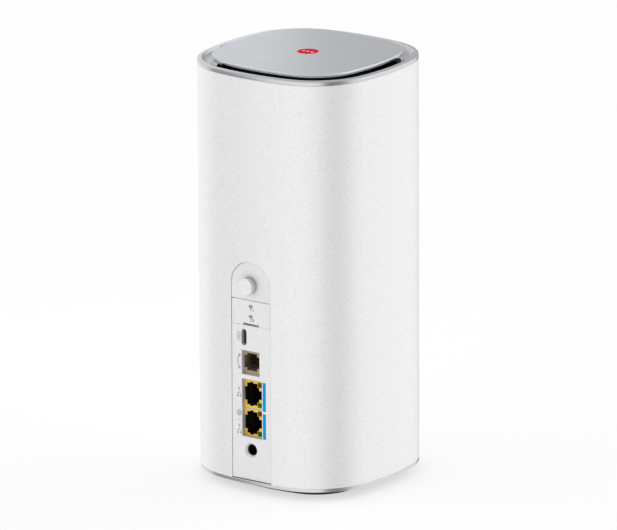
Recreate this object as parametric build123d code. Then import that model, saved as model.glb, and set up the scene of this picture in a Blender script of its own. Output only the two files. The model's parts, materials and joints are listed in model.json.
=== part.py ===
from build123d import *
import math
import os

# A desktop cellular router tower, standing on its sole.
# Millimetres, +Z up, sockets facing -Y, origin at the centre of the sole's rest face.

# Outer section: a rounded square with bowed sides
half_width = 54.0
corner_radius = 36.0
side_radius = 135.0

# Heights
sole_top = 1.2
base_top = 5.2
sleeve_bottom = 7.2
sleeve_top = 229.4
rim_shoulder = 231.5
rim_top = 232.0
plate_top = 233.6

# Shell
sleeve_wall = 2.2
rim_width = 2.45
plate_inset = 7.9
plate_taper = 0.7
base_inset = 12.6
seam = 0.15
badge_radius = 5.7
badge_depth = 0.4

# Vent tray between the rim and the top plate
dish_floor = 229.6
dish_width = 6.05
tray_thickness = 1.2
tray_inner_inset = 14.0
slot_outer_inset = 4.0
grille_low = 224.5
grille_high = 226.0
# Ends of the two vent slots as (angle at the rim, angle at the plate), degrees from +X
near_slot = ((-117.8, -124.2), (13.3, 25.3))
far_slot = ((76.7, 64.7), (178.0, 184.0))
facet_span = (5.5, 8.0)

# Port bay on the -Y side
bay_half = 12.7
bay_seam = 0.2
bay_round = 0.3
arch_z = 115.9
panel_low = 7.55
panel_face = -52.95
panel_step = -50.75
panel_back = -49.25
flange_half = 15.0

# Push button
button_x = -0.85
button_radius = 4.5
button_proud = 4.4
collar_radius = 5.7

# Hinged flap over the antenna jacks
flap_low = 93.4
flap_high = 107.65
flap_skin = 1.6
hinge_y = panel_face + flap_skin
hinge_z = flap_high - flap_skin
pin_radius = 0.5
pin_clearance = 0.06
lug_radius = 1.0
lug_half = 2.4
outer_lug = (6.2, 8.2)
nail_slot_half = 5.2
nail_slot_height = 1.15
jack_x = -1.9
jack_heights = (96.9, 101.9)
jack_radius = 2.1

# Sockets
usb_x = -4.75
usb_z = 86.5
usb_recess = 1.5
usb_height = 8.94
usb_width = 3.26
phone_window = (-6.35, 5.4, 65.8, 79.3)
phone_recess = 1.9
lan_window = (-6.35, 7.0, 31.2, 63.5)
lan_centres = (54.85, 38.9)
lan_middle = 46.7
lan_divider = 0.9
lan_recess = 2.2
lan_depth = 18.0
socket_lip = 0.4
dc_x = -0.55
dc_z = 24.0
dc_mouth_radius = 4.1
dc_hole_radius = 3.0
dc_funnel = 1.3

# Main board, standing in the Y-Z plane with its parts on the +X face
board_back = -8.0
board_face = -6.4
board_low = 14.0
board_high = 208.0
board_step = 134.0
board_front = 43.5

# Cooling
sink_low = 72.0
sink_high = 204.0
sink_gap = 3.8
fin_pitch = 5.8
fin_thickness = 1.2
fin_reach = 34.0
sink_screw_y = 22.0
sink_screw_heights = (82, 134, 196)
chip_margin = 8
# Shielded circuits on the board as (y0, y1, z0, z1)
can_places = {"modem": (-18, 16, 142, 176), "wifi": (-18, 16, 92, 126)}

# Antenna carrier inside the sleeve
carrier_inset = 8.0
carrier_wall = 1.6
carrier_low = 16.0
carrier_high = 212.0

# Underside
screw_x = 26.0
screw_y = 30.0
sim_y = 21.0
sim_width = 13.2
sim_thickness = 1.4
sim_x = -4.3

# Status light, on the +Y side
lens_z = 40.0


def outline(inset):
    """Face of the rounded-square section, moved inwards by inset."""
    half = half_width - inset
    corner = corner_radius - inset
    side = side_radius - inset
    drop = side - half
    centre = (math.sqrt(4 * drop**2 - 8 * (drop**2 - (side - corner) ** 2)) - 2 * drop) / 4
    spread = math.atan2(centre, centre + drop)
    join_x = side * math.sin(spread)
    join_y = side * math.cos(spread) - drop
    bulge = centre + corner / math.sqrt(2)
    edges = []
    for quarter in range(4):
        turn = Rot(0, 0, -90 * quarter)
        edges.append(turn * ThreePointArc((-join_x, join_y), (0, half), (join_x, join_y)))
        edges.append(turn * ThreePointArc((join_x, join_y), (bulge, bulge), (join_y, join_x)))
    return make_face(edges)


def prism(inset, low, high):
    """Upright solid of the section."""
    return Pos(0, 0, low) * extrude(outline(inset), amount=high - low, dir=(0, 0, 1))


def ring(outer_inset, inner_inset, low, high):
    return prism(outer_inset, low, high) - prism(inner_inset, low, high)


def stack(sections):
    """Solid through outlines given as (inset, height)."""
    return loft([Pos(0, 0, height) * outline(inset) for inset, height in sections], ruled=True)


def block(x0, x1, y0, y1, z0, z1):
    middle = Pos((x0 + x1) / 2, (y0 + y1) / 2, (z0 + z1) / 2)
    return middle * Box(x1 - x0, y1 - y0, z1 - z0)


def rod_x(y, z, radius, x0, x1):
    return Pos((x0 + x1) / 2, y, z) * Rot(0, 90, 0) * Cylinder(radius, x1 - x0)


def rod_y(x, z, radius, y0, y1):
    return Pos(x, (y0 + y1) / 2, z) * Rot(90, 0, 0) * Cylinder(radius, y1 - y0)


def rod_z(x, y, radius, z0, z1):
    return Pos(x, y, (z0 + z1) / 2) * Cylinder(radius, z1 - z0)


def pill_y(x, z, width, height, y0, y1):
    """Upright slot shape with round ends, running along Y."""
    plane = Plane(origin=(x, y1, z), x_dir=(1, 0, 0), z_dir=(0, -1, 0))
    return extrude(plane * SlotOverall(height, width, rotation=90), amount=y1 - y0)


def arch(half, low, y0, y1):
    """Upright plate with a round top, running along Y."""
    return block(-half, half, y0, y1, low, arch_z) + rod_y(0, arch_z, half, y0, y1)


def save(shape, node):
    export_step(shape, f"parts/{node}.step")


def polar(radius, angle):
    return (radius * math.cos(math.radians(angle)), radius * math.sin(math.radians(angle)))


def sector(start, end, low, high):
    """Wedge between two slanted ends, each given as (angle at the rim, angle at the plate)."""
    rim_radius = 54.5
    plate_radius = 50.0
    ends = []
    for rim_angle, plate_angle in (start, end):
        outer = Vector(*polar(rim_radius, rim_angle))
        inner = Vector(*polar(plate_radius, plate_angle))
        ends.append((outer + (outer - inner) * 4, inner - (outer - inner) * 2))
    steps = 5
    sweep = [start[0] + (end[0] - start[0]) * (step + 0.5) / steps for step in range(steps)]
    arc = [Vector(*polar(110, angle)) for angle in sweep]
    points = [ends[0][1], ends[0][0], *arc, ends[1][0], ends[1][1], Vector(0, 0)]
    wedge = make_face(Polyline(*points, close=True))
    return Pos(0, 0, low) * extrude(wedge, amount=high - low, dir=(0, 0, 1))


# ---- outer shell ----

def make_sleeve():
    shell = ring(0, sleeve_wall, sleeve_bottom, sleeve_top)
    shell -= arch(bay_half + bay_seam, 0, -60, -45)
    mouth = [edge for edge in shell.edges() if edge.center().Y < -53 and edge.center().Z > sleeve_bottom + 1]
    shell = fillet([edge for edge in mouth if abs(edge.center().X) < 13], bay_round)
    return shell - pill_y(0, lens_z, 2.4, 18.4, 45, 60)


def make_top_rim():
    edge = [(0, sleeve_top), (0, 231.0), (0.15, 231.35), (0.5, rim_shoulder + 0.02)]
    body = stack([*edge, (rim_width, rim_top)])
    return body - prism(rim_width, sleeve_top - 1, rim_top + 1)


def make_vent_tray():
    steps = 7
    outer_inset = rim_width
    sections = []
    for step in range(steps):
        across = dish_width * step / (steps - 1)
        rise = 1 - math.sqrt(1 - (1 - across / dish_width) ** 2)
        sections.append((outer_inset + across, dish_floor + (rim_top - 0.1 - dish_floor) * rise))
    hollow = stack([(outer_inset, rim_top + 1), *sections])
    body = prism(outer_inset, dish_floor - tray_thickness, rim_top - 0.1) - hollow
    body -= prism(tray_inner_inset, 220, 240)
    body += ring(sleeve_wall + 0.1, slot_outer_inset, 220, dish_floor - tray_thickness)
    slots = ring(slot_outer_inset, tray_inner_inset, dish_floor - 3, rim_top)
    facets = ring(slot_outer_inset - 0.5, plate_inset + 1.5, dish_floor - 0.4, rim_top - 0.1)
    for start, end in (near_slot, far_slot):
        rim_span, plate_span = facet_span
        before = (start[0] - rim_span, start[1] - plate_span)
        after = (end[0] + rim_span, end[1] + plate_span)
        body -= slots & sector(start, end, 219, 240)
        body += facets & sector(before, start, 219, 240)
        body += facets & sector(end, after, 219, 240)
    return body


def make_vent_grille():
    plate = prism(slot_outer_inset + 0.1, grille_low, grille_high)
    pitch = 3.4
    count = 29
    for index in range(count):
        x = (index - (count - 1) / 2) * pitch
        plate -= block(x - 0.9, x + 0.9, -60, 60, 0, 240) & ring(8.0, 18.0, 0, 240)
    return plate


def make_plate_post():
    return prism(tray_inner_inset + seam, grille_high, rim_top)


def make_top_plate():
    edge = rim_top + 1.0
    body = stack([(plate_inset, rim_top), (plate_inset, edge), (plate_inset + plate_taper, plate_top)])
    return body - rod_z(0, 0, badge_radius + 0.1, plate_top - badge_depth, plate_top + 1)


def make_badge():
    return rod_z(0, 0, badge_radius, plate_top - badge_depth, plate_top - 0.05)


def make_badge_dots():
    return Compound([rod_z(x, 0, 0.8, plate_top - 0.05, plate_top) for x in (-2.7, 0, 2.7)])


def make_bottom_ring():
    body = stack([(0.3, base_top), (0, base_top + 0.3), (0, sleeve_bottom)])
    return body - prism(6.0, 0, 20)


def intake_slots(low, high):
    """Two banks of air slots through the underside."""
    slots = []
    for side in (-1, 1):
        for index in range(9):
            x = side * 30
            y = (index - 4) * 5.0
            slots.append(block(x - 6, x + 6, y - 1.1, y + 1.1, low, high))
    return slots


def screw_places():
    return [(x, y) for x in (-screw_x, screw_x) for y in (-screw_y, screw_y)]


def make_base_cover():
    body = prism(base_inset, sole_top, base_top)
    body += prism(6.1, base_top, sleeve_bottom)
    spigot = ring(sleeve_wall + 0.1, 6.1, sleeve_bottom, 14)
    spigot += ring(4.0, 8.0, sleeve_bottom, 14)
    body += spigot - block(-17, 17, -60, -30, 0, 20)
    body += block(board_back - 2, board_face + 2, 30, 36, sleeve_bottom, 20)
    body += block(board_back - 2, board_face + 2, -30, -24, sleeve_bottom, 20)
    body -= block(board_back, board_face, -40, 40, board_low, 30)
    for slot in intake_slots(0, 10):
        body -= slot
    for x, y in screw_places():
        body -= rod_z(x, y, 1.6, 0, 20)
        body -= rod_z(x, y, 3.2, 0, 3.6)
    return body - sim_space(0.15, 0, 20) - sim_head(0.15, 0, 2.4)


def make_rubber_sole():
    body = prism(base_inset + 0.8, 0, sole_top)
    for slot in intake_slots(-1, 3):
        body -= slot
    return body - sim_head(0.15, -1, 3)


# ---- port panel, flap and button ----

def make_port_panel():
    body = arch(bay_half, panel_low, panel_face, panel_step)
    body += arch(flange_half, panel_low, panel_step, panel_back)
    body -= rod_y(button_x, arch_z, button_radius + seam, -60, -40)
    body -= rod_y(button_x, arch_z, collar_radius + 0.3, panel_step, -40)
    body -= block(-20, 20, -60, hinge_y + seam, flap_low - 0.1, flap_high + 0.1)
    body -= block(-bay_half - 0.1, bay_half + 0.1, -60, -40, hinge_z - 1.85, flap_high + 0.1)
    body -= block(-nail_slot_half, nail_slot_half, -60, hinge_y + 1.2, flap_low - 0.1, flap_low + 1.6)
    body -= pill_y(usb_x, usb_z, usb_width + 0.16, usb_height + 0.16, -60, -40)
    for z in jack_heights:
        body -= rod_y(jack_x, z, jack_radius + 0.2, -60, -40)
    for x0, x1, z0, z1 in (phone_window, lan_window):
        body -= block(x0, x1, -60, -40, z0, z1)
    funnel = Pos(dc_x, panel_face, dc_z) * Rot(-90, 0, 0)
    base = (Align.CENTER, Align.CENTER, Align.MIN)
    body -= funnel * Cone(dc_mouth_radius, dc_hole_radius + 0.15, dc_funnel, align=base)
    body -= rod_y(dc_x, dc_z, dc_hole_radius + 0.15, -60, -40)
    for x0, x1 in lug_spans():
        body += rod_x(hinge_y, hinge_z, lug_radius, x0, x1)
        body += block(x0, x1, hinge_y + seam, panel_back, hinge_z - 1.9, hinge_z - 0.45)
    return body - rod_x(hinge_y, hinge_z, pin_radius, -outer_lug[1], outer_lug[1])


def lug_spans():
    return ((-lug_half, lug_half), outer_lug, (-outer_lug[1], -outer_lug[0]))


def make_flap():
    body = block(-bay_half + 0.1, bay_half - 0.1, panel_face, hinge_y, flap_low, hinge_z)
    curl = rod_x(hinge_y, hinge_z, flap_skin, -bay_half + 0.1, bay_half - 0.1)
    body += curl & block(-20, 20, -60, hinge_y, hinge_z, 120)
    for side in (-1, 1):
        x0, x1 = sorted((side * (lug_half + 0.2), side * (outer_lug[0] - 0.2)))
        body += rod_x(hinge_y, hinge_z, flap_skin, x0, x1)
    for x0, x1 in lug_spans():
        body -= rod_x(hinge_y, hinge_z, lug_radius + 0.2, x0 - 0.15, x1 + 0.15)
    body -= block(-nail_slot_half, nail_slot_half, -60, -45, flap_low, flap_low + nail_slot_height)
    return body - rod_x(hinge_y, hinge_z, pin_radius + pin_clearance, -20, 20)


def make_button():
    front = panel_face - button_proud
    cap = rod_y(button_x, arch_z, button_radius, front, -50.65)
    cap = fillet(cap.edges().sort_by(Axis.Y)[0], 0.6)
    collar = rod_y(button_x, arch_z, collar_radius, -50.65, -49.65)
    return cap + collar + rod_y(button_x, arch_z, 3.0, -49.65, -46.9)


def make_switch_plunger():
    return rod_y(button_x, arch_z, 1.6, -46.9, -37)


def make_switch_body():
    body = block(board_face, button_x + 5.8, -42, -30, arch_z - 5.8, arch_z + 5.8)
    return body - rod_y(button_x, arch_z, 1.7, -60, -33.5)


def make_marking_strips():
    heights = ((31.5, 45.7), (47.05, 63.15))
    return Compound([block(7.45, 9.45, panel_face - 0.04, panel_face, z0, z1) for z0, z1 in heights])


# ---- sockets ----

def lan_ports():
    """Lowest, highest and plug centre Z of each LAN housing, the upper one first."""
    wall = 0.3
    low = lan_window[2] + wall
    high = lan_window[3] - wall
    half = lan_divider / 2
    return ((lan_middle + half, high, lan_centres[0]), (low, lan_middle - half, lan_centres[1]))


def make_lan_shield():
    x0, x1, z0, z1 = lan_window
    back = panel_face + lan_recess + lan_depth
    body = block(x0 + 0.05, x1 - 0.05, panel_face + 0.15, back, z0 + 0.05, z1 - 0.05)
    for low, high, middle in lan_ports():
        body -= block(x0 + 0.3, x1 - 0.3, -60, back, low, high)
    return body - block(x0 + 0.3, x1 - 0.3, -60, panel_face + lan_recess, z0 + 0.3, z1 - 0.3)


def make_lan_body(low, high, middle):
    """Whole socket body with its stepped plug cavity and latch keyway, before it is split in two."""
    x0 = lan_window[0] + 0.3
    x1 = lan_window[1] - 0.3
    web = 0.4
    front = panel_face + lan_recess
    body = block(x0, x1, front, front + lan_depth, low, high)
    body -= block(-4.6, 2.3, -60, front + 14, middle - 6.1, middle + 6.1)
    body -= block(-2.7, -0.3, -60, front + 3, middle - 6.75, middle + 6.75)
    body -= block(x0 - 1, -4.5, -60, front + socket_lip, middle - 3.8, middle + 3.8)
    body -= block(x0 + web, -4.5, -60, front + 12, middle - 3.8, middle + 3.8)
    body -= block(2.2, 3.5, -60, front + 14, middle - 4.1, middle + 4.1)
    body -= block(3.4, x1 - web, -60, front + 14, middle - 2.45, middle + 2.45)
    for side in (-1, 1):
        body -= led_pocket(middle, side)
    return body


def make_lan_frame(low, high, middle):
    split = panel_face + lan_recess + socket_lip
    return make_lan_body(low, high, middle) & block(-20, 20, -60, split, 0, 100)


def make_lan_insert(low, high, middle):
    split = panel_face + lan_recess + socket_lip
    return make_lan_body(low, high, middle) & block(-20, 20, split, 0, 0, 100)


def led_pocket(middle, side):
    z0, z1 = sorted((middle + side * 4.25, middle + side * 7.0))
    front = panel_face + lan_recess
    return block(2.45, 6.3, front - 0.1, front + 12, z0, z1)


def make_lan_leds(side):
    """Light pipes beside the latch keyways: side 1 is the upper pair, -1 the lower."""
    front = panel_face + lan_recess + 0.2
    inside = block(2.5, 6.25, front, 0, 0, 200)
    return Compound([led_pocket(middle, side) & inside for middle in lan_centres])


def contact_row(count, x, y, length, middle):
    """Spring wires side by side, leaning inwards from the wall that they start at."""
    wires = []
    for index in range(count):
        z = middle + (index - (count - 1) / 2) * 1.02
        wires.append(Pos(x, y, z) * Rot(0, 0, -15) * Box(0.35, length, 0.45))
    return wires


def make_lan_contacts():
    wires = []
    for middle in lan_centres:
        wires += contact_row(8, -3.1, panel_face + lan_recess + 6.5, 9, middle)
    return Compound(wires)


def make_phone_body():
    x0, x1, z0, z1 = phone_window
    front = panel_face + phone_recess
    middle = (z0 + z1) / 2 + 0.15
    web = 0.4
    body = block(x0 + 0.05, x1 - 0.05, front, front + 14, z0 + 0.05, z1 - 0.05)
    body -= block(-4.2, 2.45, -60, front + 11, middle - 4.85, middle + 4.85)
    body -= block(x0, -4.1, -60, front + socket_lip, middle - 3.5, middle + 3.5)
    body -= block(x0 + web, -4.1, -60, front + 10, middle - 3.5, middle + 3.5)
    return body - block(2.4, x1 - web, -60, front + 11, middle - 3.2, middle + 3.2)


def make_phone_frame():
    return make_phone_body() & block(-20, 20, -60, panel_face + phone_recess + socket_lip, 0, 100)


def make_phone_insert():
    return make_phone_body() & block(-20, 20, panel_face + phone_recess + socket_lip, 0, 0, 100)


def make_phone_contacts():
    middle = (phone_window[2] + phone_window[3]) / 2
    return Compound(contact_row(4, -3.0, panel_face + phone_recess + 6.0, 7, middle))


def make_usb_shell():
    front = panel_face + usb_recess
    body = pill_y(usb_x, usb_z, usb_width, usb_height, front, front + 7.5)
    return body - pill_y(usb_x, usb_z, usb_width - 0.6, usb_height - 0.6, front - 1, front + 6.5)


def make_usb_tongue():
    front = panel_face + usb_recess
    return block(usb_x - 0.35, usb_x + 0.35, front + 0.95, front + 6.5, usb_z - 3.3, usb_z + 3.3)


def make_dc_jack():
    body = block(board_face, 4.6, panel_back, panel_face + 15.6, dc_z - 4.6, dc_z + 4.6)
    body += rod_y(dc_x, dc_z, dc_hole_radius + 0.1, panel_face + 1.6, panel_back + 1)
    return body - rod_y(dc_x, dc_z, dc_hole_radius - 0.2, -60, panel_face + 12)


def make_dc_pin():
    pin = rod_y(dc_x, dc_z, 1.0, panel_face + 6, panel_face + 12)
    return fillet(pin.edges().sort_by(Axis.Y)[0], 0.9)


def make_antenna_jacks():
    jacks = []
    for z in jack_heights:
        jack = rod_y(jack_x, z, jack_radius, -50.9, -42)
        jack += block(board_face, jack_x + 2.1, -46, -41, z - 2.1, z + 2.1)
        jack -= rod_y(jack_x, z, 1.5, -60, -46)
        jack += rod_y(jack_x, z, 0.35, -50.2, -45.9)
        jacks.append(jack)
    return Compound(jacks)


# ---- boards, cooling and antennas ----

def make_main_board():
    lower = block(board_back, board_face, -49.0, board_front, board_low, board_step)
    board = lower + block(board_back, board_face, -board_front, board_front, board_step - 0.01, board_high)
    board -= block(board_back, board_face, -50, -46.0, arch_z - 7.5, arch_z + 7.5)
    return board - sink_screw_holes()


def make_can(place):
    y0, y1, z0, z1 = place
    wall = 0.25
    can = block(board_face, board_face + 2.6, y0, y1, z0, z1)
    return can - block(board_face - 1, board_face + 2.6 - wall, y0 + wall, y1 - wall, z0 + wall, z1 - wall)


def make_chip(place):
    return chip_square(place, board_face, board_face + 1.2)


def chip_square(place, x0, x1):
    y0, y1, z0, z1 = place
    return block(x0, x1, y0 + chip_margin, y1 - chip_margin, z0 + chip_margin, z1 - chip_margin)


def make_thermal_pads():
    pads = []
    for place in can_places.values():
        y0, y1, z0, z1 = place
        pads.append(chip_square(place, board_face + 1.2, board_face + 2.35))
        pads.append(block(board_face + 2.6, board_face + sink_gap, y0 + 2, y1 - 2, z0 + 2, z1 - 2))
    pads.append(block(board_back - 1.0, board_back, -16, 14, 90, 178))
    return Compound(pads)


def make_sink(root, base, reach, y0, y1):
    """Finned block: root is the face towards the board, base its back, reach the fins' tips."""
    body = block(min(root, base), max(root, base), y0, y1, sink_low, sink_high)
    x0, x1 = sorted((base, reach))
    half = fin_thickness / 2
    count = int((y1 - y0 - fin_thickness) / fin_pitch) + 1
    first = (y0 + y1 - (count - 1) * fin_pitch) / 2
    for index in range(count):
        y = first + index * fin_pitch
        body += block(x0, x1, y - half, y + half, sink_low, sink_high)
    return body - sink_screw_holes()


def sink_screw_holes():
    return [rod_x(sink_screw_y, z, 1.25, -30, 30) for z in sink_screw_heights]


def make_carrier():
    wall = ring(carrier_inset, carrier_inset + carrier_wall, carrier_low, carrier_high)
    wall -= block(-18, 18, -60, 0, 0, 134)
    for low, high in ((26, 58), (70, 108), (120, 158), (170, 202)):
        wall -= block(-60, 60, -13, 13, low, high)
        wall -= block(-13, 13, 0, 60, low, high)
    for x, y in screw_places():
        y0, y1 = sorted((y, y * 1.5))
        wall += rod_z(x, y, 4, sleeve_bottom, 30) - rod_z(x, y, 1.3, 0, 22)
        wall += block(x - 1, x + 1, y0, y1, 20, 30) & prism(carrier_inset + 0.5, 0, 60)
    return wall


def make_antenna_boards():
    """Flat boards on the carrier's sides, by node name."""
    out = half_width - carrier_inset
    boards = {}
    number = 1
    for side in (-1, 1):
        for z0, z1 in ((60, 116), (148, 204)):
            x0, x1 = sorted((side * out, side * (out + 0.8)))
            boards[f"cellular_antenna_{number}"] = block(x0, x1, -18, 18, z0, z1)
            number += 1
    boards["wifi_antenna_1"] = block(-18, 18, out, out + 0.8, 78, 112)
    boards["wifi_antenna_2"] = block(-18, 18, out, out + 0.8, 160, 194)
    return boards


def make_transformers():
    return Compound([block(board_face, -2.6, -28, -14, z0, z0 + 13) for z0 in (33, 49)])


def make_capacitors():
    return Compound([rod_x(y, 24, 4, board_face, 5) for y in (-26, -16)])


def make_inductors():
    return Compound([block(board_face, -1.0, y, y + 7, 19, 26) for y in (-4, 6)])


# ---- SIM, status light and fasteners ----

def sim_space(clear, low, high):
    half_x = sim_thickness / 2 + clear
    half_y = sim_width / 2 + clear
    return block(sim_x - half_x, sim_x + half_x, sim_y - half_y, sim_y + half_y, low, high)


def sim_head(clear, low, high):
    half_y = sim_width / 2 + 1.6 + clear
    half_x = 2.2 + clear
    return block(sim_x - half_x, sim_x + half_x, sim_y - half_y, sim_y + half_y, low, high)


def make_sim_tray():
    body = sim_space(0, 2.2, 25) + sim_head(0, 0.4, 2.2)
    pocket = block(sim_x - 0.3, 0, sim_y - 4.5, sim_y + 4.5, 11.4, 23.9)
    body -= pocket
    return body - rod_y(sim_x, 0.4, 0.7, sim_y - 4, sim_y + 4)


def make_sim_card():
    return block(sim_x - 0.3, sim_x + 0.37, sim_y - 4.4, sim_y + 4.4, 11.5, 23.8)


def make_sim_socket():
    low = board_low + 0.5
    body = block(board_face, sim_x + 1.5, sim_y - 8, sim_y + 8, low, 27)
    return body - sim_space(0.15, 0, 26)


def make_status_lens():
    return pill_y(0, lens_z, 2.2, 18.2, half_width - sleeve_wall - 0.9, half_width - 0.25)


def make_status_board():
    out = half_width - carrier_inset
    board = block(-6, 6, out, out + 1, lens_z - 12, lens_z + 12)
    for z in (lens_z - 6, lens_z, lens_z + 6):
        board += block(-1, 1, out + 1, out + 2, z - 1, z + 1)
    return board


def make_base_screws():
    return Compound([rod_z(x, y, 2.8, 1.7, 3.6) + rod_z(x, y, 1.3, 3.6, 16) for x, y in screw_places()])


def make_sink_screws():
    """Screws that clamp the two heat sinks through the board, in the bays beside the cans."""
    x0 = board_back - 4
    x1 = board_face + sink_gap + 3
    return Compound([rod_x(sink_screw_y, z, 1.2, x0, x1) for z in sink_screw_heights])


save(make_sleeve(), "outer_sleeve")
save(make_top_rim(), "top_rim")
save(make_vent_tray(), "vent_tray")
save(make_vent_grille(), "vent_grille")
save(make_plate_post(), "plate_post")
save(make_top_plate(), "top_plate")
save(make_badge(), "top_badge")
save(make_badge_dots(), "badge_dots")
save(make_bottom_ring(), "bottom_ring")
save(make_base_cover(), "base_cover")
save(make_rubber_sole(), "rubber_sole")
save(make_port_panel(), "rear_port_panel")
save(make_marking_strips(), "port_marking_strips")
save(make_flap(), "antenna_flap")
save(rod_x(hinge_y, hinge_z, pin_radius, -outer_lug[1], outer_lug[1]), "flap_hinge_pin")
save(make_button(), "power_button")
save(make_switch_plunger(), "switch_plunger")
save(make_switch_body(), "switch_body")
save(make_lan_shield(), "lan_shield")
for name, port in zip(("upper", "lower"), lan_ports()):
    save(make_lan_frame(*port), f"lan_frame_{name}")
    save(make_lan_insert(*port), f"lan_insert_{name}")
save(make_lan_contacts(), "lan_contact_wires")
save(make_lan_leds(1), "lan_lights_amber")
save(make_lan_leds(-1), "lan_lights_green")
save(make_phone_frame(), "phone_frame")
save(make_phone_insert(), "phone_insert")
save(make_phone_contacts(), "phone_contact_wires")
save(make_usb_shell(), "usb_c_shell")
save(make_usb_tongue(), "usb_c_tongue")
save(make_dc_jack(), "dc_jack_body")
save(make_dc_pin(), "dc_jack_pin")
save(make_antenna_jacks(), "antenna_jacks")
save(make_main_board(), "main_board")
for name, can_place in can_places.items():
    save(make_can(can_place), f"{name}_shield_can")
    save(make_chip(can_place), f"{name}_chip")
save(make_thermal_pads(), "thermal_pads")
right_root = board_face + sink_gap
save(make_sink(right_root, right_root + 3, fin_reach, -24, 34), "heat_sink_right")
left_root = board_back - 1.0
save(make_sink(left_root, left_root - 3, -fin_reach, -30, 34), "heat_sink_left")
save(make_carrier(), "antenna_carrier")
for name, board in make_antenna_boards().items():
    save(board, name)
save(make_transformers(), "lan_transformers")
save(make_capacitors(), "filter_capacitors")
save(make_inductors(), "power_inductors")
save(make_sim_socket(), "sim_socket")
save(make_sim_tray(), "sim_tray")
save(make_sim_card(), "sim_card")
save(make_status_lens(), "status_lens")
save(make_status_board(), "status_light_board")
save(make_base_screws(), "base_screws")
save(make_sink_screws(), "sink_screws")
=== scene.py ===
import json
import math

import bmesh
import bpy
from mathutils import Matrix, Vector


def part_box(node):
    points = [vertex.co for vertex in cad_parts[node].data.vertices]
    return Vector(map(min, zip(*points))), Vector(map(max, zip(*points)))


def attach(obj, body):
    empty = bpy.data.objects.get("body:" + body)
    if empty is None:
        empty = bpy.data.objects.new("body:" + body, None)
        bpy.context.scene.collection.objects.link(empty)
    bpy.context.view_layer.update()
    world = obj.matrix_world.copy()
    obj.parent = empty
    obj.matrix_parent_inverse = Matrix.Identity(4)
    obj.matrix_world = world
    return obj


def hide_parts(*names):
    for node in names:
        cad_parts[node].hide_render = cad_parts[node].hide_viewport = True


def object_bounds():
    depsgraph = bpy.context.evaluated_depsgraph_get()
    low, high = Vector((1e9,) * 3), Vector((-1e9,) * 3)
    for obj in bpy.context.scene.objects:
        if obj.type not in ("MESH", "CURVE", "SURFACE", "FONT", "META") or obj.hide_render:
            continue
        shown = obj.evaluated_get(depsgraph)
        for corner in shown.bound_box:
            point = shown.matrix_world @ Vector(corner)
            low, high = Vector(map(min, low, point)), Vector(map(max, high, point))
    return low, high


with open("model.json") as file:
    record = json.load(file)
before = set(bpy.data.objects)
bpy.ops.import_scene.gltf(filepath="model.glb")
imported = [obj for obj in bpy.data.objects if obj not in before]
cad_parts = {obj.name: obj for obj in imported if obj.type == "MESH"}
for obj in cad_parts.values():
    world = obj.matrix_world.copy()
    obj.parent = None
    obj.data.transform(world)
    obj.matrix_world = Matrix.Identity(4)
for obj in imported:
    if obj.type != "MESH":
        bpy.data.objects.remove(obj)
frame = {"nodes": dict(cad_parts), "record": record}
cadLow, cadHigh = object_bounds()
print("frame loaded:", len(frame["nodes"]), "nodes")


mm = 0.001  # metres in a millimetre
towerFacts = {
    "halfWidth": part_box("outer_sleeve")[1].x,
    "cornerRadius": 36 * mm,
    "sideRadius": 135 * mm,  # the shallow bow of each side
}
colourA, colourB, colourOut = 6, 7, 2  # places of the colour sockets on a Mix node


def linearColour(hexText):
    # sRGB hex to the linear values that the shaders work in
    values = [int(hexText[i:i + 2], 16) / 255 for i in (1, 3, 5)]
    return [v / 12.92 if v <= 0.04045 else ((v + 0.055) / 1.055) ** 2.4 for v in values] + [1.0]


def addNode(tree, kind, inputs=None, **settings):
    # one node with its settings; an input given as a socket is linked, any other value is set
    node = tree.nodes.new(kind)
    for name, value in settings.items():
        setattr(node, name, value)
    for key, value in (inputs or {}).items():
        if isinstance(value, bpy.types.NodeSocket):
            tree.links.new(value, node.inputs[key])
        else:
            node.inputs[key].default_value = value
    return node


def startMaterial(name, colour, roughness, metallic=0.0, **sockets):
    material = bpy.data.materials.new(name)
    material.use_nodes = True
    tree = material.node_tree
    shader = tree.nodes["Principled BSDF"]
    shader.inputs["Base Color"].default_value = linearColour(colour)
    shader.inputs["Roughness"].default_value = roughness
    shader.inputs["Metallic"].default_value = metallic
    for key, value in sockets.items():
        shader.inputs[key.replace("_", " ")].default_value = value
    place = addNode(tree, "ShaderNodeTexCoord")
    return material, tree, shader, place.outputs["Object"]


def dressSurface(tree, shader, tint, shine=None, relief=None, shade=None):
    # one pattern takes the colour from dark to light, one varies the shine, one stands up as relief,
    # and one paints shade, darkening the colour where it is low
    pattern, low, high, dark, light = tint
    share = addNode(tree, "ShaderNodeMapRange", {"Value": pattern, "From Min": low, "From Max": high})
    colour = addNode(tree, "ShaderNodeMix", {
        "Factor": share.outputs["Result"], colourA: linearColour(dark), colourB: linearColour(light)},
        data_type="RGBA")
    if shade:
        pattern, low, high, shadeColour = shade
        depth = addNode(tree, "ShaderNodeMapRange", {
            "Value": pattern, "From Min": low, "From Max": high, "To Min": 1.0, "To Max": 0.0})
        colour = addNode(tree, "ShaderNodeMix", {
            "Factor": depth.outputs["Result"], colourA: colour.outputs[colourOut],
            colourB: linearColour(shadeColour)}, data_type="RGBA", blend_type="MULTIPLY")
    tree.links.new(colour.outputs[colourOut], shader.inputs["Base Color"])
    if shine:
        pattern, low, high = shine
        spread = addNode(tree, "ShaderNodeMapRange", {
            "Value": pattern, "From Min": 0.3, "From Max": 0.7, "To Min": low, "To Max": high})
        tree.links.new(spread.outputs["Result"], shader.inputs["Roughness"])
    if relief:
        pattern, strength, depthMm = relief
        bump = addNode(tree, "ShaderNodeBump", {
            "Height": pattern, "Strength": strength, "Distance": depthMm * mm})
        tree.links.new(bump.outputs["Normal"], shader.inputs["Normal"])


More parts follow.
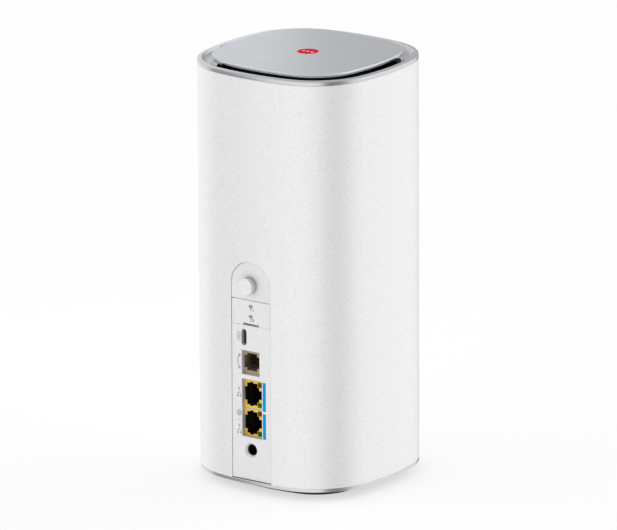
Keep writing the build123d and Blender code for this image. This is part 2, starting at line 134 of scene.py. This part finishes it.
def moulded(name, dark, light, roughness, grainMm, strength):
    # injection moulded plastic from a spark-eroded tool: an even fine grain, and a tone that drifts
    # over the part
    material, tree, shader, place = startMaterial(name, light, roughness)
    grain = addNode(tree, "ShaderNodeTexNoise", {
        "Vector": place, "Scale": 1 / (grainMm * mm), "Detail": 3.0}).outputs["Fac"]
    drift = addNode(tree, "ShaderNodeTexNoise", {"Vector": place, "Scale": 1 / (40 * mm), "Detail": 1.0})
    slowPart = addNode(tree, "ShaderNodeMath", {0: drift.outputs["Fac"], 1: 0.2}, operation="MULTIPLY")
    both = addNode(tree, "ShaderNodeMath", {
        0: grain, 1: 0.8, 2: slowPart.outputs[0]}, operation="MULTIPLY_ADD")
    dressSurface(tree, shader, tint=(both.outputs[0], 0.3, 0.65, dark, light),
                 shine=(grain, roughness - 0.04, roughness + 0.04), relief=(grain, strength, 0.03))
    return material


def shadedAbs(name, shadeReachMm, paintedShadeColour, pearl):
    # white ABS with a pearl filler: dull and evenly sanded with tiny grey specks, with painted shade: an
    # occlusion pattern greys the colour in the seams and beside the button
    material, tree, shader, place = startMaterial(name, "#F6F6F7", 0.4, pearl)
    grain = addNode(tree, "ShaderNodeTexNoise", {
        "Vector": place, "Scale": 1 / (0.9 * mm), "Detail": 3.0}).outputs["Fac"]
    # painted shade: where ambient occlusion is low, the colour darkens towards the shade colour
    corner = addNode(tree, "ShaderNodeAmbientOcclusion", {"Distance": shadeReachMm * mm}, samples=8)
    dressSurface(tree, shader, tint=(grain, 0.3, 0.65, "#ECECED", "#F8F8F9"), shine=(grain, 0.37, 0.43),
                 relief=(grain, 0.25, 0.03), shade=(corner.outputs["AO"], 0.35, 0.95, paintedShadeColour))
    return material


def paintedMetal(name, dark, light, roughness, flakeMm, strength):
    # aluminium sprayed with silver lacquer: satin, with metal flakes that just show as a fine sparkle
    material, tree, shader, place = startMaterial(name, light, roughness, 1.0)
    flakes = addNode(tree, "ShaderNodeTexVoronoi", {
        "Vector": place, "Scale": 1 / (flakeMm * mm)}).outputs["Distance"]
    cloud = addNode(tree, "ShaderNodeTexNoise", {"Vector": place, "Scale": 1 / (12 * mm)})
    dressSurface(tree, shader, tint=(flakes, 0.1, 0.9, light, dark),
                 shine=(cloud.outputs["Fac"], roughness - 0.02, roughness + 0.03),
                 relief=(flakes, strength, 0.01))
    return material


def drawnMetal(name, dark, light, roughness, lineMm, stretch, metallic=1.0):
    # metal rolled or extruded through a die: fine lines along its length, with slightly mottled plating
    material, tree, shader, place = startMaterial(name, light, roughness, metallic)
    along = addNode(tree, "ShaderNodeMapping", {"Vector": place, "Scale": stretch})
    lines = addNode(tree, "ShaderNodeTexNoise", {
        "Vector": along.outputs["Vector"], "Scale": 1 / (lineMm * mm), "Detail": 4.0}).outputs["Fac"]
    dressSurface(tree, shader, tint=(lines, 0.3, 0.7, dark, light),
                 shine=(lines, roughness - 0.06, roughness + 0.08), relief=(lines, 0.15, 0.02))
    return material


def solderMask():
    # green lacquer over copper: glossy, with paler tracks about 0.8 mm wide, drawn coarse so that they show
    material, tree, shader, place = startMaterial("solderMask", "#14532F", 0.35)
    upright = addNode(tree, "ShaderNodeMapping", {"Vector": place, "Rotation": (0, math.radians(90), 0)})
    tracks = addNode(tree, "ShaderNodeTexBrick", {
        "Vector": upright.outputs["Vector"], "Scale": 1 / (14 * mm), "Mortar Size": 0.03,
        "Brick Width": 0.5, "Row Height": 0.22, "Color1": linearColour("#12482A"),
        "Color2": linearColour("#175B33"), "Mortar": linearColour("#2B7A48")})
    tree.links.new(tracks.outputs["Color"], shader.inputs["Base Color"])
    bump = addNode(tree, "ShaderNodeBump", {
        "Height": tracks.outputs["Fac"], "Strength": 0.3, "Distance": 0.05 * mm})
    tree.links.new(bump.outputs["Normal"], shader.inputs["Normal"])
    return material


def lightPipe(name, dark, light):
    # tinted polycarbonate seen unlit: deep colour, a dulled face, faint cloud inside
    material, tree, shader, place = startMaterial(name, light, 0.45, Specular_IOR_Level=0.2)
    cloud = addNode(tree, "ShaderNodeTexNoise", {"Vector": place, "Scale": 1 / (1.2 * mm)})
    dressSurface(tree, shader, tint=(cloud.outputs["Fac"], 0.3, 0.7, dark, light))
    return material


def printedInk(name, dark, light, roughness, specular):
    # pad-printed ink: flat and matt, thinning a little where the plastic's grain stands up
    material, tree, shader, place = startMaterial(name, light, roughness, Specular_IOR_Level=specular)
    grain = addNode(tree, "ShaderNodeTexNoise", {
        "Vector": place, "Scale": 1 / (0.6 * mm), "Detail": 3.0}).outputs["Fac"]
    dressSurface(tree, shader, tint=(grain, 0.25, 0.6, dark, light),
                 shine=(grain, roughness - 0.05, roughness + 0.05))
    return material


finishes = {
    # E6E6E8 is the painted shade colour that the shell takes in seams and beside the button
    "white_shell": shadedAbs("whitePearlAbs", 6, "#E6E6E8", 0.3),
    "silver_trim": paintedMetal("satinChromePaint", "#CDCED1", "#D8D9DB", 0.18, 0.35, 0.0),
    "satin_plate": paintedMetal("satinAluminiumPaint", "#CDD0D6", "#DFE2E7", 0.34, 0.6, 0.06),
    "red_badge": printedInk("redInlay", "#D20020", "#E6002C", 0.6, 0.06),
    "badge_mark": printedInk("whiteInk", "#E6C8CC", "#F6E4E6", 0.6, 0.2),
    "black_plastic": moulded("blackNylon", "#0B0B0B", "#181818", 0.45, 0.7, 0.3),
    "black_rubber": moulded("blackSilicone", "#141414", "#222222", 0.8, 1.2, 0.5),
    "blue_mark": printedInk("bluePrint", "#0090C8", "#009CD8", 0.55, 0.1),
    "steel": drawnMetal("tinnedSteel", "#87878A", "#A2A2A4", 0.55, 1.5, (1, 1, 0.2)),
    "gold_contact": drawnMetal("goldPlate", "#8A6526", "#A87F36", 0.35, 0.6, (1, 0.2, 1)),
    "yellow_plastic": moulded("yellowNylon", "#FFC030", "#FFD044", 0.5, 0.5, 0.25),
    "amber_lens": lightPipe("amberPipe", "#4C3404", "#6A4A08"),
    "green_lens": lightPipe("greenPipe", "#04500E", "#08701A"),
    "smoke_plastic": moulded("taupeNylon", "#9C8C76", "#B3A38C", 0.45, 0.6, 0.25),
    "grey_plastic": moulded("greyAbs", "#585A5E", "#66686C", 0.5, 0.8, 0.3),
    "circuit_board": solderMask(),
    "thermal_pad": moulded("siliconePad", "#93A9BE", "#A6BACD", 0.7, 1.5, 0.5),
    "sink_aluminium": drawnMetal("extrudedAluminium", "#AEB0B3", "#C6C8CB", 0.4, 0.8, (1, 1, 0.03)),
    "white_card": moulded("whiteCardPvc", "#E6E6E6", "#F0F0F0", 0.4, 0.8, 0.1),
    "clear_lens": moulded("frostedPolycarbonate", "#DDE0E3", "#ECEEF0", 0.35, 0.8, 0.3),
}
special = {  # pieces whose finish differs from the rest of their slot
    # the button's painted shade is darker (#8E9094) and reaches further, greying its side and the panel round
    # it
    "power_button": shadedAbs("buttonAbs", 9, "#8E9094", 0.15),
    # trayPaint is a darker copy of the trim's silver paint: its darker colour is painted shade that dims the
    # reflections in the vent bowl
    "vent_tray": paintedMetal("trayPaint", "#B9BBBF", "#C6C8CB", 0.24, 0.35, 0.0),
    "lan_shield": drawnMetal("dullTin", "#B4B4B6", "#C8C8CA", 0.6, 1.5, (1, 1, 0.2), 0.2),
    "usb_c_shell": drawnMetal("dullNickel", "#8E8E90", "#A4A4A6", 0.5, 1.2, (1, 1, 0.2), 0.4),
    "phone_insert": moulded("smokyNylon", "#6C6055", "#7E7266", 0.5, 0.6, 0.3),
    "phone_contact_wires": drawnMetal("dullBronze", "#5E5140", "#75664F", 0.5, 0.6, (1, 0.2, 1)),
    "lan_contact_wires": drawnMetal("dullGold", "#7A5A20", "#94702E", 0.45, 0.6, (1, 0.2, 1)),
}
for row in frame["record"]["subparts"]:
    node = frame["nodes"][row["node"]]
    node.data.materials.clear()
    node.data.materials.append(special.get(row["node"], finishes[row["material_slot"]]))
print("finishes given")


def outlinePath(inset, steps):
    # the tower's outline: four bowed sides joined by four round corners, walked anticlockwise
    side = towerFacts["sideRadius"] - inset
    corner = towerFacts["cornerRadius"] - inset
    drop = towerFacts["sideRadius"] - towerFacts["halfWidth"]
    centre = (math.sqrt(4 * drop**2 - 8 * (drop**2 - (side - corner)**2)) - 2 * drop) / 4
    spread = math.atan2(centre, centre + drop)
    points = []
    for quarter in range(4):
        turn = Matrix.Rotation(math.radians(90 * quarter), 3, "Z")
        for step in range(steps):
            angle = spread * (2 * step / steps - 1)
            points.append(turn @ Vector((side * math.cos(angle) - drop, side * math.sin(angle), 0)))
        for step in range(steps):
            angle = spread + (math.pi / 2 - 2 * spread) * step / steps
            x, y = centre + corner * math.cos(angle), centre + corner * math.sin(angle)
            points.append(turn @ Vector((x, y, 0)))
    return points


def newTree(name, sizes):
    tree = bpy.data.node_groups.new(name, "GeometryNodeTree")
    tree.interface.new_socket("Geometry", in_out="INPUT", socket_type="NodeSocketGeometry")
    for label, kind in sizes.items():
        tree.interface.new_socket(label, in_out="INPUT", socket_type="NodeSocket" + kind)
    tree.interface.new_socket("Geometry", in_out="OUTPUT", socket_type="NodeSocketGeometry")
    return tree, addNode(tree, "NodeGroupInput").outputs


def endTree(tree, geometry, material):
    plain = addNode(tree, "GeometryNodeRealizeInstances", {"Geometry": geometry})
    finish = addNode(tree, "GeometryNodeSetMaterial", {
        "Geometry": plain.outputs["Geometry"], "Material": material})
    addNode(tree, "NodeGroupOutput", {"Geometry": finish.outputs["Geometry"]})


def runTree(name, points, tree, values):
    # a closed path of points carries the modifier, and its result becomes a plain mesh
    path = bpy.data.meshes.new(name + "Path")
    path.from_pydata(points, [(i, (i + 1) % len(points)) for i in range(len(points))], [])
    carrier = bpy.data.objects.new(name + "Path", path)
    bpy.context.scene.collection.objects.link(carrier)
    modifier = carrier.modifiers.new("build", "NODES")
    modifier.node_group = tree
    for item in tree.interface.items_tree:
        if item.in_out == "INPUT" and item.name in values:
            modifier[item.identifier] = values[item.name]
    mesh = bpy.data.meshes.new_from_object(carrier.evaluated_get(bpy.context.evaluated_depsgraph_get()))
    bpy.data.objects.remove(carrier)
    piece = bpy.data.objects.new(name, mesh)
    bpy.context.scene.collection.objects.link(piece)
    return piece


bands = {
    # heights and width in mm; edge is the radius that eases each long edge
    "top_rim": {"Low": 229.4, "Shoulder": 231.5, "High": 232.0, "Width": 2.45, "Edge": 0.16},
    "bottom_ring": {"Low": 5.2, "Shoulder": 7.2, "High": 7.2, "Width": 6.0, "Edge": 0.16},
}
bandSteps = 40  # points along each side and each corner of the outline
crispAngle = 60  # edges sharper than this, in degrees, stay crisp


def bandTree():
    # a four-cornered profile with eased edges, swept round the outline
    tree, sizes = newTree("sweptBand", {"Low": "Float", "Shoulder": "Float", "High": "Float",
                                        "Width": "Float", "Edge": "Float", "Finish": "Material"})
    corners = {}
    for label, across, height in (("Point 1", 0.0, "Low"), ("Point 2", 0.0, "Shoulder"),
                                  ("Point 3", sizes["Width"], "High"), ("Point 4", sizes["Width"], "Low")):
        place = addNode(tree, "ShaderNodeCombineXYZ", {"X": across, "Y": sizes[height]})
        # a swept profile's axes point outwards and down, so its corners are turned about
        turned = addNode(tree, "ShaderNodeVectorMath", {
            0: place.outputs["Vector"], "Scale": -1.0}, operation="SCALE")
        corners[label] = turned.outputs["Vector"]
    profile = addNode(tree, "GeometryNodeCurvePrimitiveQuadrilateral", corners, mode="POINTS")
    eased = addNode(tree, "GeometryNodeFilletCurve", {
        "Curve": profile.outputs["Curve"], "Radius": sizes["Edge"], "Count": 4}, mode="POLY")
    path = addNode(tree, "GeometryNodeMeshToCurve", {"Mesh": sizes["Geometry"]})
    upright = addNode(tree, "GeometryNodeSetCurveNormal", {"Curve": path.outputs["Curve"]}, mode="Z_UP")
    swept = addNode(tree, "GeometryNodeCurveToMesh", {
        "Curve": upright.outputs["Curve"], "Profile Curve": eased.outputs["Curve"]})
    endTree(tree, swept.outputs["Mesh"], sizes["Finish"])
    return tree


def makeBands():
    tree = bandTree()
    for node, facts in bands.items():
        values = {label: size * mm for label, size in facts.items()}
        values["Finish"] = finishes["silver_trim"]
        piece = runTree(node + "_swept", outlinePath(0, bandSteps), tree, values)
        edit = bmesh.new()
        edit.from_mesh(piece.data)
        bmesh.ops.recalc_face_normals(edit, faces=edit.faces)
        edit.to_mesh(piece.data)
        edit.free()
        piece.data.polygons.foreach_set("use_smooth", [True] * len(piece.data.polygons))
        piece.data.set_sharp_from_angle(angle=math.radians(crispAngle))
        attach(piece, "housing")
        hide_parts(node)


makeBands()
print("rim and ring swept")


ventFacts = {
    "inset": 9.1,  # middle of the vent gap, mm in from the outside
    "length": 9.4,
    "thickness": 0.9,
    "low": 226.05,
    "height": 2.2,
    "count": 96,
    "steps": 24,  # points along each side and each corner of the outline
}


def makeVentRibs(facts):
    # upright ribs that stand across the vent gap all the way round, seen in the dark of the two slots
    tree, sizes = newTree("ventRibs", {"Count": "Int", "Length": "Float", "Thickness": "Float",
                                       "Height": "Float", "Finish": "Material"})
    path = addNode(tree, "GeometryNodeMeshToCurve", {"Mesh": sizes["Geometry"]})
    spots = addNode(tree, "GeometryNodeCurveToPoints", {
        "Curve": path.outputs["Curve"], "Count": sizes["Count"]})
    shape = addNode(tree, "ShaderNodeCombineXYZ", {
        "X": sizes["Length"], "Y": sizes["Thickness"], "Z": sizes["Height"]})
    rib = addNode(tree, "GeometryNodeMeshCube", {"Size": shape.outputs["Vector"]})
    facing = addNode(tree, "FunctionNodeAlignRotationToVector", {
        "Vector": spots.outputs["Tangent"]}, axis="Y", pivot_axis="Z")
    placed = addNode(tree, "GeometryNodeInstanceOnPoints", {
        "Points": spots.outputs["Points"], "Instance": rib.outputs["Mesh"],
        "Rotation": facing.outputs["Rotation"]})
    endTree(tree, placed.outputs["Instances"], sizes["Finish"])
    lift = Vector((0, 0, (facts["low"] + facts["height"] / 2) * mm))
    points = [point + lift for point in outlinePath(facts["inset"] * mm, facts["steps"])]
    piece = runTree("vent_ribs", points, tree, {
        "Count": facts["count"], "Length": facts["length"] * mm, "Thickness": facts["thickness"] * mm,
        "Height": facts["height"] * mm, "Finish": finishes["black_plastic"]})
    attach(piece, "housing")


makeVentRibs(ventFacts)
print("vent ribs stand")


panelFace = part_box("rear_port_panel")[0].y
inkFacts = {
    # signs printed on the port panel and the flap; all in mm, with heights up from the rest face
    "thickness": 0.04,
    "stroke": 0.36,
    "labelX": -8.2,
    "plug": {"low": 85.1, "high": 88.3, "radius": 0.8, "gap": 0.1},
    "handset": {"middle": 72.7, "radius": 5.0, "reach": 4.2, "stroke": 0.6, "halfAngle": 40,
                "capHeights": (75.6, 68.5), "capRight": 0.35, "capSize": (1.5, 1.3)},
    "networks": (52.9, 32.3),
    "network": {"box": 1.1, "rise": 4.2, "spread": 0.9, "leg": (1.1, 2.0), "bar": (2.0, 2.3)},
    "globe": {"middle": 44.0, "radius": 1.5, "meridian": 2.2, "offset": 1.6, "halfAngle": 42,
              "equator": (2.8, 0.34)},
    "dash": {"low": 39.9, "size": (1.8, 0.3)},
    "flapX": -0.15,
    "flapHeights": {"1": 103.7, "2": 98.1},
    "fan": {"drop": 1.05, "radii": (0.75, 1.4, 2.05), "stroke": 0.46, "dot": 0.3, "mast": (2.1, 1.5)},
    "figure": {"right": 1.0, "drop": 2.05, "size": 2.0, "bold": 0.1},
}


def disc(x, z, radius, steps=20):
    return [(x + radius * math.cos(2 * math.pi * i / steps), z + radius * math.sin(2 * math.pi * i / steps))
            for i in range(steps)]


def bar(x, low, width, height):
    # an upright or level stroke, centred on x
    half = width / 2
    return [(x - half, low), (x + half, low), (x + half, low + height), (x - half, low + height)]


def bow(x, z, radius, stroke, start, end, steps=14):
    # a curved stroke about a centre, from one angle to another
    angles = [math.radians(start + (end - start) * i / steps) for i in range(steps + 1)]
    outside, inside = [
        [(x + reach * math.cos(a), z + reach * math.sin(a)) for a in angles]
        for reach in (radius + stroke / 2, radius - stroke / 2)]
    return outside + inside[::-1]


def inkMesh(name, loops, thickness):
    # flat shapes in the panel's plane, given in mm as (x, z), raised by the ink's thickness
    edit = bmesh.new()
    faces = []
    for loop in loops:
        corners = [edit.verts.new((x * mm, panelFace - thickness * mm, z * mm)) for x, z in loop]
        faces.append(edit.faces.new(corners))
    lifted = bmesh.ops.extrude_face_region(edit, geom=faces)["geom"]
    backs = [item for item in lifted if isinstance(item, bmesh.types.BMVert)]
    bmesh.ops.translate(edit, verts=backs, vec=(0, thickness * mm, 0))
    bmesh.ops.recalc_face_normals(edit, faces=edit.faces)
    mesh = bpy.data.meshes.new(name)
    edit.to_mesh(mesh)
    edit.free()
    return mesh


def figureMesh(text, x, z, facts):
    # a plain figure, made a mesh before it is turned to face outwards
    curve = bpy.data.curves.new("figure" + text, "FONT")
    curve.body = text
    curve.size = facts["figure"]["size"] * mm
    curve.offset = facts["figure"]["bold"] * mm
    curve.extrude = facts["thickness"] / 2 * mm
    holder = bpy.data.objects.new("figure" + text, curve)
    bpy.context.scene.collection.objects.link(holder)
    mesh = bpy.data.meshes.new_from_object(holder.evaluated_get(bpy.context.evaluated_depsgraph_get()))
    bpy.data.objects.remove(holder)
    place = Matrix.Translation((x * mm, panelFace - facts["thickness"] / 2 * mm, z * mm))
    mesh.transform(place @ Matrix.Rotation(math.radians(90), 4, "X"))
    return mesh


def addInk(name, mesh, body, ink):
    mesh.materials.clear()
    mesh.materials.append(ink)
    piece = bpy.data.objects.new(name, mesh)
    bpy.context.scene.collection.objects.link(piece)
    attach(piece, body)


def antennaSign(x, z, facts):
    # three bows over a dot and a short mast
    fan = facts["fan"]
    middle = z - fan["drop"]
    mastLow, mastHigh = (z - fall for fall in fan["mast"])
    bows = [bow(x, middle, radius, fan["stroke"], 45, 135) for radius in fan["radii"]]
    return bows + [disc(x, middle, fan["dot"]), bar(x, mastLow, facts["stroke"], mastHigh - mastLow)]


def plugSign(x, facts):
    # a rounded slot with a tongue
    plug = facts["plug"]
    tall = plug["high"] - plug["low"]
    ends = [bow(x, plug["high"], plug["radius"], facts["stroke"], 0, 180),
            bow(x, plug["low"], plug["radius"], facts["stroke"], 180, 360)]
    sides = [bar(x + side * plug["radius"], plug["low"], facts["stroke"], tall) for side in (-1, 1)]
    return ends + sides + [bar(x, plug["low"] + plug["gap"], facts["stroke"], tall - 2 * plug["gap"])]


def handsetSign(x, facts):
    # a bowed grip with a cap at each end
    grip = facts["handset"]
    width, height = grip["capSize"]
    caps = [bar(x + grip["capRight"], low, width, height) for low in grip["capHeights"]]
    return [bow(x + grip["reach"], grip["middle"], grip["radius"], grip["stroke"],
                180 - grip["halfAngle"], 180 + grip["halfAngle"])] + caps


def networkSign(x, low, facts):
    # one box over two, joined by a trunk, a crossbar and two legs
    net = facts["network"]
    boxes = [bar(x + across, low + up, net["box"], net["box"])
             for across, up in ((0, net["rise"]), (-net["spread"], 0), (net["spread"], 0))]
    legLow, legHigh = net["leg"]
    barLow, barHigh = net["bar"]
    legs = [bar(x + across, low + legLow, facts["stroke"], legHigh - legLow)
            for across in (-net["spread"], net["spread"])]
    crossbar = bar(x, low + barLow, 2 * net["spread"] + facts["stroke"], barHigh - barLow)
    return boxes + [bar(x, low + barHigh, facts["stroke"], net["rise"] - barHigh), crossbar] + legs


def globeSign(x, facts):
    # a ring with an equator and two meridians
    globe = facts["globe"]
    z, half = globe["middle"], globe["halfAngle"]
    rings = [bow(x, z, globe["radius"], facts["stroke"], start, start + 180) for start in (0, 180)]
    meridians = [bow(x - globe["offset"], z, globe["meridian"], facts["stroke"], -half, half),
                 bow(x + globe["offset"], z, globe["meridian"], facts["stroke"], 180 - half, 180 + half)]
    width, height = globe["equator"]
    return rings + [bar(x, z - height / 2, width, height)] + meridians


def printSigns(facts):
    x = facts["labelX"]
    signs = plugSign(x, facts) + handsetSign(x, facts)
    for low in facts["networks"]:
        signs += networkSign(x, low, facts)
    signs += globeSign(x, facts) + [bar(x, facts["dash"]["low"], *facts["dash"]["size"])]
    paleInk = printedInk("paleInk", "#A9ABAE", "#B6B8BB", 0.5, 0.3)
    greyInk = printedInk("greyInk", "#66686B", "#76787B", 0.5, 0.2)
    addInk("port_label_marks", inkMesh("portLabelMarks", signs, facts["thickness"]), "housing", paleInk)
    for text, height in facts["flapHeights"].items():
        sign = antennaSign(facts["flapX"], height, facts)
        mesh = inkMesh("antennaMark" + text, sign, facts["thickness"])
        addInk("antenna_mark_" + text, mesh, "flap", greyInk)
        figureX = facts["flapX"] + facts["figure"]["right"]
        figureLow = height - facts["figure"]["drop"]
        addInk("antenna_number_" + text, figureMesh(text, figureX, figureLow, facts), "flap", greyInk)


printSigns(inkFacts)
print("signs printed")


cameraFacts = {
    "azimuth": 35.945,  # degrees right of the port side
    "elevation": 15.566,
    "roll": 0.284,
    "lens": 513.3,
    "sensor": 36,
    "clip": (0.1, 50),
    "distance": 4.729,
    "aimHeight": 118.6 * mm,
    "down": 3.355 * mm,
    "left": 0.26 * mm,
}


def makeCamera(facts):
    turn = math.radians(facts["azimuth"])
    tilt = math.radians(facts["elevation"])
    back = Vector((math.sin(turn) * math.cos(tilt), -math.cos(turn) * math.cos(tilt), math.sin(tilt)))
    facing = (-back).to_track_quat("-Z", "Y").to_matrix()
    aim = Vector((0, 0, facts["aimHeight"])) - facing.col[1] * facts["down"] - facing.col[0] * facts["left"]
    data = bpy.data.cameras.new("camera")
    data.sensor_width = facts["sensor"]
    data.lens = facts["lens"]
    data.clip_start, data.clip_end = facts["clip"]
    camera = bpy.data.objects.new("camera", data)
    rolled = facing @ Matrix.Rotation(-math.radians(facts["roll"]), 3, "Z")
    camera.matrix_world = Matrix.Translation(aim + back * facts["distance"]) @ rolled.to_4x4()
    bpy.context.scene.collection.objects.link(camera)
    bpy.context.scene.camera = camera


makeCamera(cameraFacts)


floorFacts = {
    "size": 40.0,
    "paper": "#ACACAC",
    "roughness": 0.9,
    "glow": 0.62,  # lifts the paper to an even near-white, as a lit backdrop is
}
studioFacts = {
    # brightness of the room, by degrees right of the camera: below the horizon, above it, and overhead
    "below": [(-180, 0.75), (-150, 0.95), (-116, 0.86), (-100, 0.46), (-88, 0.4), (-76, 0.5), (-62, 0.88),
              (-50, 1.0), (0, 1.0), (10, 0.82), (20, 0.39), (30, 0.28), (42, 0.34), (54, 0.55), (66, 0.82),
              (80, 0.97), (126, 0.97), (146, 0.8), (162, 0.34), (180, 0.6)],
    "above": [(-180, 0.56), (-150, 0.59), (-120, 0.95), (-90, 1.15), (-60, 1.05), (-35, 0.86), (-10, 0.62),
              (20, 0.37), (50, 0.62), (80, 1.1), (110, 1.3), (135, 1.05), (160, 0.55), (180, 0.56)],
    "overhead": 0.72,
    "horizon": (-0.06, 0.2),  # sine of the height over which below turns to above
    "ceiling": (0.75, 0.97),  # and above turns to overhead
    "full": 2.0,  # brightness at the top of each curve
    "level": 1.06,
}
cardFacts = {
    # a soft card behind the tower's left, which shades the top plate from left to right
    "angle": -160,
    "reach": 0.32,
    "height": 0.32,
    "size": 0.22,
    "power": 0.044,
}


def makeFloor(facts):
    half = facts["size"] / 2
    mesh = bpy.data.meshes.new("floor")
    corners = [(-half, -half, 0), (half, -half, 0), (half, half, 0), (-half, half, 0)]
    mesh.from_pydata(corners, [], [(0, 1, 2, 3)])
    floor = bpy.data.objects.new("floor", mesh)
    # seamless background paper: matt and plain
    paper = startMaterial("palePaper", facts["paper"], facts["roughness"], Emission_Color=(1, 1, 1, 1),
                          Emission_Strength=facts["glow"])[0]
    mesh.materials.append(paper)
    bpy.context.scene.collection.objects.link(floor)
    floor.visible_glossy = False


def makeCard(facts):
    angle = math.radians(facts["angle"] - 90 + cameraFacts["azimuth"])
    data = bpy.data.lights.new("card", "AREA")
    data.shape = "SQUARE"
    data.size = facts["size"]
    data.energy = facts["power"]
    card = bpy.data.objects.new("card", data)
    card.location = (facts["reach"] * math.cos(angle), facts["reach"] * math.sin(angle), facts["height"])
    aim = Vector((0, 0, cadHigh.z)) - card.location
    card.rotation_euler = aim.to_track_quat("-Z", "Y").to_euler()
    card.visible_camera = False
    bpy.context.scene.collection.objects.link(card)


def brightnessRound(tree, share, spots, full):
    # brightness against the share of a full turn
    curve = addNode(tree, "ShaderNodeFloatCurve", {"Value": share})
    points = curve.mapping.curves[0].points
    places = [((angle + 180) / 360, value / full) for angle, value in spots]
    points[0].location = places[0]
    points[1].location = places[-1]
    for spot in places[1:-1]:
        points.new(*spot)
    curve.mapping.update()
    scaled = addNode(tree, "ShaderNodeMath", {0: curve.outputs["Value"], 1: full}, operation="MULTIPLY")
    return scaled.outputs[0]


def makeStudio(facts):
    world = bpy.data.worlds.new("studio")
    world.use_nodes = True
    tree = world.node_tree
    back = tree.nodes["Background"]
    back.inputs["Color"].default_value = (1, 1, 1, 1)
    place = addNode(tree, "ShaderNodeTexCoord")
    axes = addNode(tree, "ShaderNodeSeparateXYZ", {"Vector": place.outputs["Generated"]})
    polar = addNode(tree, "ShaderNodeMath", {0: axes.outputs["Y"], 1: axes.outputs["X"]}, operation="ARCTAN2")
    turned = addNode(tree, "ShaderNodeMath", {
        0: polar.outputs[0], 1: math.radians(90 - cameraFacts["azimuth"])}, operation="ADD")
    wrapped = addNode(tree, "ShaderNodeMath", {
        0: turned.outputs[0], 1: math.pi, 2: -math.pi}, operation="WRAP")
    share = addNode(tree, "ShaderNodeMapRange", {
        "Value": wrapped.outputs[0], "From Min": -math.pi, "From Max": math.pi}).outputs["Result"]
    below = brightnessRound(tree, share, facts["below"], facts["full"])
    above = brightnessRound(tree, share, facts["above"], facts["full"])
    rise = addNode(tree, "ShaderNodeMapRange", {
        "Value": axes.outputs["Z"], "From Min": facts["horizon"][0], "From Max": facts["horizon"][1]})
    high = addNode(tree, "ShaderNodeMapRange", {
        "Value": axes.outputs["Z"], "From Min": facts["ceiling"][0], "From Max": facts["ceiling"][1]})
    wall = addNode(tree, "ShaderNodeMix", {"Factor": rise.outputs["Result"], "A": below, "B": above})
    whole = addNode(tree, "ShaderNodeMix", {
        "Factor": high.outputs["Result"], "A": wall.outputs["Result"], "B": facts["overhead"]})
    level = addNode(tree, "ShaderNodeMath", {
        0: whole.outputs["Result"], 1: facts["level"]}, operation="MULTIPLY")
    tree.links.new(level.outputs[0], back.inputs["Strength"])
    bpy.context.scene.world = world


makeFloor(floorFacts)
makeCard(cardFacts)
makeStudio(studioFacts)
bpy.context.scene.view_settings.view_transform = "Standard"
print("studio ready")
